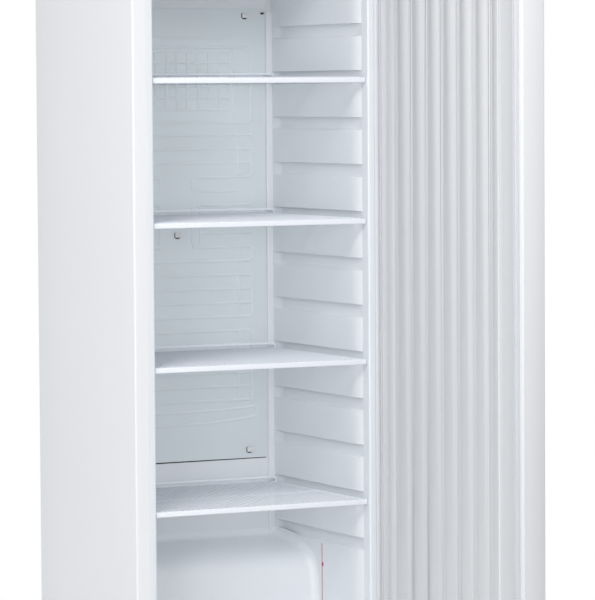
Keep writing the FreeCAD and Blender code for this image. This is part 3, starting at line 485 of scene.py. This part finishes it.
def addColdPlate():
    low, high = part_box("evaporator_plate")
    plate = block("coldPlate", (low[0], plateFace(), low[2]), high)
    roundEdges(plate, coldPlate["edge"])
    radius = coldPlate["channelWidth"] / 2
    channels = drawnTube("channels", channelRoutes(), radius, coldPlate["bend"],
                         coldPlate["bendSteps"], coldPlate["channelSides"])
    channels.scale = (1, coldPlate["channelRise"] / radius, 1)
    channels.location = (0, plateFace(), 0)
    settle(channels)
    plate = joined([plate, channels], "coldPlate")
    smooth(plate, mouldAngle)
    attach(plate, "evaporator_plate", finishes["plate"])


# painted shadow under the plate's lower edge: a flush black strip, narrower towards the right
plateShadowStrip = {
    "high": 3.6 * mm,
    "taper": 1.8 * mm,
    "inset": 2 * mm,
    "behind": 0.6 * mm,
    "overlap": 1 * mm,
    "wallDepth": 6 * mm,
    "edge": 0.4 * mm,
}


def addPlateShadowStrip():
    low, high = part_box("evaporator_plate")
    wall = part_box("liner_back_wall")[0][1] + plateShadowStrip["wallDepth"]
    shadowStrip = block("plateShadowStrip", (low[0] + plateShadowStrip["inset"], plateFace() + plateShadowStrip["behind"],
                               low[2] - plateShadowStrip["high"]),
                 (high[0] - plateShadowStrip["inset"], wall, low[2] + plateShadowStrip["overlap"]))
    for corner in shadowStrip.data.vertices:
        if corner.co.x > 0 and corner.co.z < low[2]:
            corner.co.z += plateShadowStrip["taper"]
    roundEdges(shadowStrip, plateShadowStrip["edge"])
    # this black is painted shadow under the cold plate, not a real tape
    shadowStrip.data.materials.append(finishes["rubber"])
    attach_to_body(shadowStrip, nodeBody["evaporator_plate"])


# painted shadows beside the three clips that hold the plate: flush black L-shaped marks at each
# clip's left and lower side; x and z in millimetres
clipShadows = {
    "places": ((183, 1549), (13, 1061), (188, 574)),
    "upright": ((-9.5, -5.5), (-5.5, 5.5)),
    "level": ((-7, 3), (-8, -5.2)),
    "proud": 0.25 * mm,
    "sunk": 0.3 * mm,
    "edge": 0.15 * mm,
}


def addClipShadows():
    shadowMarks = []
    for x, z in clipShadows["places"]:
        for name in ("upright", "level"):
            (left, right), (bottom, top) = clipShadows[name]
            shadowMarks.append(block(
                "shadowMark", ((x + left) * mm, plateFace() - clipShadows["proud"], (z + bottom) * mm),
                ((x + right) * mm, plateFace() + clipShadows["sunk"], (z + top) * mm)))
    shadowMarks = joined(shadowMarks, "clipShadows")
    roundEdges(shadowMarks, clipShadows["edge"])
    # this black is painted shadow of the clips, not holes in the plate
    shadowMarks.data.materials.append(finishes["black"])
    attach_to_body(shadowMarks, nodeBody["evaporator_plate"])


addColdPlate()
addPlateShadowStrip()
addClipShadows()
print("cold plate made")


# four welded wire shelves
wireShelf = {
    "band": 11.4 * mm,
    "bandThick": 5 * mm,
    "bandEdge": 1.5 * mm,
    "wire": 1.2 * mm,
    "wireEdge": 0.5 * mm,
    "wireCount": 37,
    "wirePitch": 13 * mm,
    "wireStart": 0.3 * mm,
    "weld": 0.4 * mm,
    "rod": 2.5 * mm,
    "sideRod": 2.7 * mm,
    "taper": 3.2 * mm,
    "rail": 3.0 * mm,
    "railCorner": 9 * mm,
    "wireSides": 12,
    "rodSides": 14,
    "smooth": 50,
}


def shelfRods(half, front, last, edge, level):
    rod, sideRod, sides = wireShelf["rod"], wireShelf["sideRod"], wireShelf["rodSides"]
    rods = []
    for y in ((front + last) / 2, last):
        rods.append(bar("crossRod", (-edge, y, level), (edge, y, level), rod, sides))
    for side in (-1, 1):
        rods.append(bar("sideRod",
                        (side * (half - sideRod), front + wireShelf["bandThick"] / 2, level),
                        (side * edge, last, level), sideRod, sides))
    return rods


def shelfWires(front, last, level):
    firstX = -(wireShelf["wireCount"] - 1) / 2 * wireShelf["wirePitch"]
    wire = bar("wire", (firstX, front + wireShelf["wireStart"], level), (firstX, last, level),
               wireShelf["wire"], wireShelf["wireSides"])
    roundEdges(wire, wireShelf["wireEdge"], angle=60)
    array = wire.modifiers.new("wires", "ARRAY")
    array.count = wireShelf["wireCount"]
    array.use_relative_offset = False
    array.use_constant_offset = True
    array.constant_offset_displace = (wireShelf["wirePitch"], 0, 0)
    applyModifiers(wire)
    return wire


def addShelves():
    low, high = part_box("shelf_1")
    half, front, base = high[0], low[1], low[2]
    last = high[1] - wireShelf["rod"]
    edge = half - wireShelf["sideRod"] - wireShelf["taper"]
    wireLevel = base + wireShelf["band"] + wireShelf["weld"]
    rodLevel = wireLevel - wireShelf["wire"] - wireShelf["rod"] + wireShelf["weld"]
    band = block("band", (-half, front, base), (half, front + wireShelf["bandThick"],
                                                base + wireShelf["band"]))
    roundEdges(band, wireShelf["bandEdge"], 3)
    radius = wireShelf["rail"]
    level, behind = high[2] - radius, high[1] - radius
    rail = drawnTube("rail", [[(-edge, behind, base), (-edge, behind, level),
                               (edge, behind, level), (edge, behind, base)]],
                     radius, wireShelf["railCorner"], 6, 3)
    shelf = joined([band] + shelfRods(half, front, last, edge, rodLevel)
                   + [shelfWires(front, last, wireLevel), rail], "wireShelf1")
    smooth(shelf, wireShelf["smooth"])
    shelves = [shelf]
    for number in range(2, 5):
        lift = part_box(f"shelf_{number}")[0][2] - base
        shelves.append(copied(shelf, f"wireShelf{number}", (0, 0, lift)))
    for number, shelf in enumerate(shelves, 1):
        attach(shelf, f"shelf_{number}", finishes["wire"])


addShelves()
print("shelves made")


# moulded liner: side walls with shelf grooves, back wall and ceiling.
# x from the middle, y from the front flange and z from the floor, in millimetres.
# overhang and ledge are a groove's upper and lower edge: height, and share of its depth there
liner = {
    "front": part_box("liner_right_wall")[0][1] / mm,
    "thick": 1.4,
    "jamb": 253,
    "crest": 244,
    "crestRear": 247,
    "rampStart": 28,
    "rampEnd": 78,
    "bend": 3.2,
    "deep": 450,
    "low": 114.7,
    "high": 1745.3,
    "ceiling": 1730,
    "grooveTop": 1524,
    "groovePitch": 100.9,
    "grooveHeight": 26.5,
    "grooveCount": 12,
    "grooveStop": 384,
    "grooveEnd": 411,
    "grooveRamp": 34,
    "deepen": 2.2,
    "deepest": 255.4,
    "overhang": [(2.2, 0), (1.3, 0.015), (0.6, 0.06), (0.15, 0.16), (-0.15, 1.15), (-0.8, 1.24),
                 (-3, 1.27), (-8, 1.26), (-14, 1.23), (-19, 1.2)],
    "ledge": [(4.5, 1.17), (2, 1.13), (0.9, 1.04), (0.2, 0.8), (-0.5, 0.3), (-1.1, 0.12),
              (-2.1, 0.03), (-3.6, 0)],
    "lipEdge": [(15.3, 2.4), (15.3, 0.5), (14.8, 0), (4, 0), (2.6, 0.15), (1.4, 0.6), (0.6, 1.4),
                (0.15, 2.6), (0, 4)],
    "stations": [27, 28, 29.5, 32, 36, 41, 47, 54, 62, 70, 78, 84, 180, 290, 383, 385, 398, 410,
                 412, 422, 434, 444, 446, 448, 450],
}


def padFace(y):
    start, end, crest = liner["rampStart"], liner["rampEnd"], liner["crest"]
    if y < start:
        return liner["jamb"]
    if y < end:
        bend = ((end - y) / (end - start)) ** liner["bend"]
        return crest + (liner["jamb"] - crest) * bend
    return crest + (liner["crestRear"] - crest) * (y - end) / (liner["deep"] - end)


def grooveFace(y):
    stop, end, ramp = liner["grooveStop"], liner["grooveEnd"], liner["grooveRamp"]
    if y < stop:
        return liner["jamb"]
    if y < end:
        return liner["jamb"] + liner["deepen"] * (y - stop) / (end - stop)
    rise = (liner["jamb"] + liner["deepen"] - liner["crestRear"] + 1) / ramp
    return max(padFace(y), liner["jamb"] + liner["deepen"] - rise * (y - end))


def wallLevels():
    levels = [(liner["low"], 0)]
    for number in reversed(range(liner["grooveCount"])):
        top = liner["grooveTop"] - liner["groovePitch"] * number
        bottom = top - liner["grooveHeight"]
        levels += [(bottom + rise, part) for rise, part in reversed(liner["ledge"])]
        levels += [(top + rise, part) for rise, part in reversed(liner["overhang"])]
    return levels + [(liner["high"], 0)]


def addLinerWalls():
    front, rows = liner["front"], []
    for level, part in wallLevels():
        row = [(liner["jamb"] + x, front + y, level) for x, y in liner["lipEdge"]]
        for y in liner["stations"]:
            pad = padFace(y)
            x = pad + part * (grooveFace(y) - pad)
            row.append((min(x, liner["deepest"]), front + y, level))
        rows.append(row)
    right = moulded("linerRight", rows, liner["thick"])
    smooth(right, mouldAngle)
    left = mirrored(right, "linerLeft")
    smooth(left, mouldAngle)
    attach(right, "liner_right_wall", finishes["liner"])
    attach(left, "liner_left_wall", finishes["liner"])


# back wall: an upright strip at each side runs out softly at its ends
linerBack = {
    "thick": 1.5,
    "strip": [(232.2, 450), (232.8, 449.2), (233, 446), (233.4, 444.7), (234.6, 444), (238, 444),
              (243, 444), (247.4, 444)],
    "across": (-120, 0, 120),
    "low": 374,
    "lowEnd": [(-4, 0), (0, 0), (0.5, 0.4), (1.8, 0.75), (4, 0.94), (8, 1)],
    "between": (700, 1100),
    "high": 1559,
    "highEnd": [(-2, 1), (-0.4, 0.9), (0, 0.1), (1, 0)],
    "pastCeiling": 2,
}


def addLinerBack():
    front, deep, strip = liner["front"], liner["deep"], linerBack["strip"]
    path = [(-x, y) for x, y in reversed(strip)] + [(x, deep) for x in linerBack["across"]] + strip
    levels = [(linerBack["low"] + rise, part) for rise, part in linerBack["lowEnd"]]
    levels += [(level, 1) for level in linerBack["between"]]
    levels += [(linerBack["high"] + rise, part) for rise, part in linerBack["highEnd"]]
    levels.append((liner["ceiling"] + linerBack["pastCeiling"], 0))
    rows = [[(x, front + deep - part * (deep - y), level) for x, y in path]
            for level, part in levels]
    back = moulded("linerBack", rows, linerBack["thick"], outward=False)
    smooth(back, mouldAngle)
    attach(back, "liner_back_wall", finishes["liner"])


linerCeiling = {
    "depths": (60, 200, 449.5),
    "across": (-254, -80, 80, 254),
}


def addLinerCeiling():
    front, level = liner["front"], liner["ceiling"]
    path = [(y, level + x) for x, y in liner["lipEdge"]]
    path += [(y, level) for y in linerCeiling["depths"]]
    rows = [[(x, front + y, z) for y, z in path] for x in linerCeiling["across"]]
    ceiling = moulded("linerCeiling", rows, liner["thick"], outward=False)
    smooth(ceiling, mouldAngle)
    attach(ceiling, "liner_ceiling", finishes["liner"])


addLinerWalls()
addLinerBack()
addLinerCeiling()
print("liner walls made")


# moulded floor that rises over the machine bay: depth and height along its middle
linerFloor = {
    "thick": 1.5,
    "profile": [
        (0.3, 115), (0.3, 128), (3, 130), (60, 130), (150, 130), (205, 130), (221, 133),
        (229, 141), (232, 156), (233, 200), (234.5, 250), (236, 280), (239, 305), (245, 325),
        (255, 342), (269, 353), (287, 360.5), (310, 366), (338, 370.5), (367, 373.5),
        (400, 375.5), (430, 377.2), (441, 379), (447, 384), (449.6, 394)],
    "fillet": 20,
    "filletSteps": 6,
    "filletFrom": 3,
    "intoWall": 1,
    "deepest": 449.8,
    "smooth": 50,
}


def addLinerFloor():
    profile = [Vector(point) for point in linerFloor["profile"]]
    fillet, steps = linerFloor["fillet"], linerFloor["filletSteps"]
    gaps = [fillet * (1 - math.cos(math.pi / 2 * step / steps)) for step in range(steps + 1)]
    stations = [(-1, gap) for gap in gaps] + [(-0.5, fillet), (0, fillet), (0.5, fillet)]
    stations += [(1, gap) for gap in reversed(gaps)]
    rows = []
    for number, point in enumerate(profile):
        before, after = profile[max(number - 1, 0)], profile[min(number + 1, len(profile) - 1)]
        run = (after - before).normalized()
        normal = Vector((-run.y, run.x))
        half = padFace(point.x) + linerFloor["intoWall"]
        row = []
        for side, gap in stations:
            lift = fillet - math.sqrt(fillet ** 2 - (fillet - gap) ** 2)
            if number < linerFloor["filletFrom"]:
                lift = 0
            spot = point + normal * lift
            row.append((side * (half - gap), liner["front"] + min(spot.x, linerFloor["deepest"]),
                        spot.y))
        rows.append(row)
    floor = moulded("linerFloor", rows, linerFloor["thick"], outward=False)
    smooth(floor, linerFloor["smooth"])
    attach(floor, "liner_floor", finishes["liner"])


addLinerFloor()
print("liner floor made")


# folded side sheets
sideSheet = {
    "path": [(268.6, 0), (290, 0), (297, 0), (298.2, 0.25), (299.3, 1), (299.8, 2), (300, 3.4),
             (300, 9), (300, 120), (300, 260), (300, 400), (300, 507), (299.7, 508.8),
             (299, 509.6), (297.8, 510), (282, 510)],
    "thick": 1,
}


def addSideSheets():
    low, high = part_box("side_panel_right")
    rows = [[(x, liner["front"] + y, level / mm) for x, y in sideSheet["path"]]
            for level in (low[2], (low[2] + high[2]) / 2, high[2])]
    right = moulded("sideSheetRight", rows, sideSheet["thick"], outward=False)
    smooth(right, mouldAngle)
    left = mirrored(right, "sideSheetLeft")
    smooth(left, mouldAngle)
    attach(right, "side_panel_right", finishes["enamel"])
    attach(left, "side_panel_left", finishes["enamel"])


addSideSheets()
print("side sheets made")


# soft ring round the door panel, strip by strip from its outer foot to its inner foot:
# width of each strip and how much it rises
gasketRing = {
    "strips": [(0.0, 5.5), (0.5, 1.6), (1.4, 1.2), (2.2, 0.6), (1.6, -0.3), (1.1, -2.0),
               (0.9, -0.3), (0.9, 1.9), (1.3, 0.5), (2.4, 0.1), (1.4, -0.9), (0.6, -2.2),
               (0.0, -5.6)],
    "narrowest": 0.01,
}


def addGasket():
    low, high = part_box("door_gasket")
    bpy.ops.mesh.primitive_plane_add(size=1)
    ring = bpy.context.object
    ring.name = "gasketRing"
    ring.matrix_world = Matrix((
        (0, 0, -1, high[0]), (high[1] - low[1], 0, 0, (low[1] + high[1]) / 2),
        (0, high[2] - low[2], 0, (low[2] + high[2]) / 2), (0, 0, 0, 1)))
    settle(ring)
    faceOutward(ring)
    facesDoor = ring.data.polygons[0].normal.x > 0
    openMesh(ring)
    if facesDoor:
        bpy.ops.mesh.flip_normals()
    for width, rise in gasketRing["strips"]:
        bpy.ops.mesh.inset(thickness=max(width, gasketRing["narrowest"]) * mm, depth=rise * mm)
    bpy.ops.mesh.delete(type="FACE")
    bpy.ops.mesh.select_mode(type="EDGE")
    bpy.ops.mesh.select_all(action="DESELECT")
    bpy.ops.mesh.select_non_manifold()
    bpy.ops.mesh.bridge_edge_loops()
    bpy.ops.mesh.select_mode(type="VERT")
    closeMesh()
    smooth(ring, mouldAngle)
    attach(ring, "door_gasket", finishes["gasket"])


addGasket()
print("gasket made")


# painted line and its small arrow on the right wall
limitMark = {
    "y": 210,
    "width": 2.4 * mm,
    "low": 160 * mm,
    "high": 383 * mm,
    "arrow": 337 * mm,
    "arrowSize": 6 * mm,
    "arrowAhead": 3 * mm,
    "proud": 0.25 * mm,
    "sunk": 0.3 * mm,
}


def addLimitMark():
    y = (liner["front"] + limitMark["y"]) * mm
    face = padFace(limitMark["y"]) * mm
    proud, side = limitMark["proud"], limitMark["width"] / 2
    x = face - proud
    line = block("line", (x, y - side, limitMark["low"]),
                 (face + limitMark["sunk"], y + side, limitMark["high"]))
    bpy.ops.mesh.primitive_cylinder_add(vertices=3, radius=limitMark["arrowSize"],
                                        depth=proud * 2)
    arrow = bpy.context.object
    arrow.name = "arrow"
    tip = (x + proud / 2, y - limitMark["arrowAhead"], limitMark["arrow"])
    arrow.matrix_world = Matrix.Translation(tip) @ Matrix.Rotation(math.radians(90), 4, "Y")
    settle(arrow)
    mark = joined([line, arrow], "limitMark")
    mark.data.materials.clear()
    mark.data.materials.append(finishes["redMark"])
    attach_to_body(mark, nodeBody["liner_right_wall"])


addLimitMark()


# the other pieces keep the shape of their solid, with edges softened by this many millimetres
plan = {
    "top_panel": ("enamel", 0.35), "back_panel": ("zinc", 0.3), "base_tray": ("enamel", 0.35),
    "machine_bay_panel": ("zinc", 0.35), "body_foam": ("foam", 0),
    "evaporator_clips": ("moulding", 0.6), "temperature_probe": ("black", 0.2),
    "hinge_bracket_bottom": ("zinc", 0.5), "hinge_bracket_top": ("zinc", 0.5),
    "hinge_pins": ("plated", 0.4), "hinge_screws": ("plated", 0.4),
    "lock_keeper": ("zinc", 0.4), "control_fascia": ("moulding", 0.6),
    "display_window": ("window", 0.4), "control_board": ("board", 0.2),
    "plinth_grille": ("moulding", 0.6), "compressor": ("blackSteel", 1.0),
    "compressor_mounts": ("rubber", 0.5), "relay_box": ("black", 1.2),
    "filter_drier": ("copper", 0.5), "condenser_coil": ("blackSteel", 0),
    "condenser_wires": ("blackSteel", 0), "condenser_brackets": ("zinc", 0.5),
    "suction_pipe": ("copper", 0), "discharge_pipe": ("copper", 0),
    "mains_inlet": ("black", 0.5), "door_skin": ("enamel", 0.35),
    "door_liner": ("doorLiner", 0), "door_foam": ("foam", 0),
    "door_cap_top": ("moulding", 0.5), "door_cap_bottom": ("moulding", 0.5),
    "handle_cup": ("moulding", 1.0), "hinge_bushes": ("grey", 0.4),
    "lock_housing": ("plated", 0.4), "lock_barrel": ("plated", 0.3), "lock_cam": ("zinc", 0.4),
    "power_rocker": ("black", 0.5),
}
for place in ("front_left", "front_right", "rear_left", "rear_right"):
    plan[f"foot_{place}"] = ("black", 0.6)
for button in ("set", "down", "up", "defrost"):
    plan[f"button_{button}"] = ("grey", 0.5)
smoothAngles = {"door_liner": 14}
flatAngle = 0.5


def mergedCopy(node, name, joinFlat):
    piece = linked(name, frame["nodes"][node].data.copy())
    openMesh(piece)
    bpy.ops.mesh.remove_doubles(threshold=weldGap)
    if joinFlat:
        bpy.ops.mesh.dissolve_limited(angle_limit=math.radians(flatAngle))
        bpy.ops.mesh.quads_convert_to_tris(quad_method="BEAUTY", ngon_method="BEAUTY")
    closeMesh()
    return piece


for node, (material, radius) in plan.items():
    piece = mergedCopy(node, node + "Shell", joinFlat=radius > 0)
    if radius:
        roundEdges(piece, radius * mm)
    smooth(piece, smoothAngles.get(node, softAngle))
    attach(piece, node, finishes[material])
    print("dressed", node)


# floor, lights and background
stage = {
    "radius": 2.6,
    "corners": 96,
    "color": (0.86, 0.86, 0.865, 1),
    "roughness": 0.8,
    "fadeStart": 1.0,
    "fadeEnd": 1.85,
}


def addStage():
    bpy.ops.mesh.primitive_circle_add(vertices=stage["corners"], radius=stage["radius"],
                                      fill_type="NGON", location=(0, 0, 0))
    floor = bpy.context.object
    floor.name = "floor"
    material = bpy.data.materials.new("paleFloor")
    material.use_nodes = True
    nodes, links = material.node_tree.nodes, material.node_tree.links
    shader = nodes["Principled BSDF"]
    shader.inputs["Base Color"].default_value = stage["color"]
    shader.inputs["Roughness"].default_value = stage["roughness"]
    place = nodes.new("ShaderNodeTexCoord")
    length = nodes.new("ShaderNodeVectorMath")
    length.operation = "LENGTH"
    links.new(place.outputs["Object"], length.inputs[0])
    fade = nodes.new("ShaderNodeMapRange")
    fade.inputs["From Min"].default_value = stage["fadeStart"]
    fade.inputs["From Max"].default_value = stage["fadeEnd"]
    links.new(length.outputs["Value"], fade.inputs["Value"])
    clear = nodes.new("ShaderNodeBsdfTransparent")
    mix = nodes.new("ShaderNodeMixShader")
    links.new(fade.outputs["Result"], mix.inputs["Fac"])
    links.new(shader.outputs["BSDF"], mix.inputs[1])
    links.new(clear.outputs["BSDF"], mix.inputs[2])
    links.new(mix.outputs["Shader"], nodes["Material Output"].inputs["Surface"])
    floor.data.materials.append(material)


# place, aim, size and power of each lamp
lamps = {
    "frontLight": ((-1.0, -4.2, 1.3), (0, 0, 1.0), (1.2, 1.2), 32),
    "highLight": ((-0.7, -3.0, 3.1), (0, -0.1, 1.0), (0.9, 0.9), 26),
    "leftLight": ((-2.4, -2.4, 1.5), (0, -0.2, 1.0), (1.0, 1.8), 13),
    "highLeftLight": ((-2.0, -2.6, 3.2), (0.1, -0.1, 1.0), (0.6, 0.6), 24),
    "edgeLight": ((-1.5, -1.1, 1.4), (-0.3, -0.3, 0.95), (0.5, 2.2), 5.5),
}


def addLight(name, place, aim, size, power):
    data = bpy.data.lights.new(name, "AREA")
    data.shape = "RECTANGLE"
    data.size, data.size_y = size
    data.energy = power
    turn = (Vector(aim) - Vector(place)).to_track_quat("-Z", "Y").to_matrix().to_4x4()
    linked(name, data).matrix_world = Matrix.Translation(place) @ turn


# soft light from three sides, which the camera and mirrored rays see as plain white
softLight = {
    "color": (0.965, 0.983, 1, 1),
    "around": 0.02,
    "sides": (((-1, 0, 0), 0.72), ((0, 0, 1), 0.28), ((0.94, 0.34, 0), 0.4)),
}


def addWorld():
    world = bpy.data.worlds.new("studio")
    bpy.context.scene.world = world
    world.use_nodes = True
    nodes, links = world.node_tree.nodes, world.node_tree.links
    nodes.clear()
    out = nodes.new("ShaderNodeOutputWorld")
    soft, white = nodes.new("ShaderNodeBackground"), nodes.new("ShaderNodeBackground")
    soft.inputs["Color"].default_value = softLight["color"]
    place = nodes.new("ShaderNodeTexCoord")
    around = nodes.new("ShaderNodeValue")
    around.outputs[0].default_value = softLight["around"]
    level = around.outputs[0]
    for direction, strength in softLight["sides"]:
        facing, above = nodes.new("ShaderNodeVectorMath"), nodes.new("ShaderNodeMath")
        facing.operation = "DOT_PRODUCT"
        facing.inputs[1].default_value = direction
        links.new(place.outputs["Generated"], facing.inputs[0])
        above.operation = "MAXIMUM"
        above.inputs[1].default_value = 0
        links.new(facing.outputs["Value"], above.inputs[0])
        added = nodes.new("ShaderNodeMath")
        added.operation = "MULTIPLY_ADD"
        added.inputs[1].default_value = strength
        links.new(above.outputs[0], added.inputs[0])
        links.new(level, added.inputs[2])
        level = added.outputs[0]
    links.new(level, soft.inputs["Strength"])
    white.inputs["Color"].default_value = (1, 1, 1, 1)
    white.inputs["Strength"].default_value = 1.0
    path = nodes.new("ShaderNodeLightPath")
    seen, shown = nodes.new("ShaderNodeMath"), nodes.new("ShaderNodeMath")
    seen.operation = shown.operation = "MAXIMUM"
    links.new(path.outputs["Is Camera Ray"], seen.inputs[0])
    links.new(path.outputs["Is Glossy Ray"], seen.inputs[1])
    links.new(seen.outputs[0], shown.inputs[0])
    links.new(path.outputs["Is Transmission Ray"], shown.inputs[1])
    mix = nodes.new("ShaderNodeMixShader")
    links.new(shown.outputs[0], mix.inputs["Fac"])
    links.new(soft.outputs[0], mix.inputs[1])
    links.new(white.outputs[0], mix.inputs[2])
    links.new(mix.outputs[0], out.inputs["Surface"])


addCamera()
addStage()
addWorld()
for name, lamp in lamps.items():
    addLight(name, *lamp)
bpy.context.scene.view_settings.view_transform = "Standard"
print("stage set")
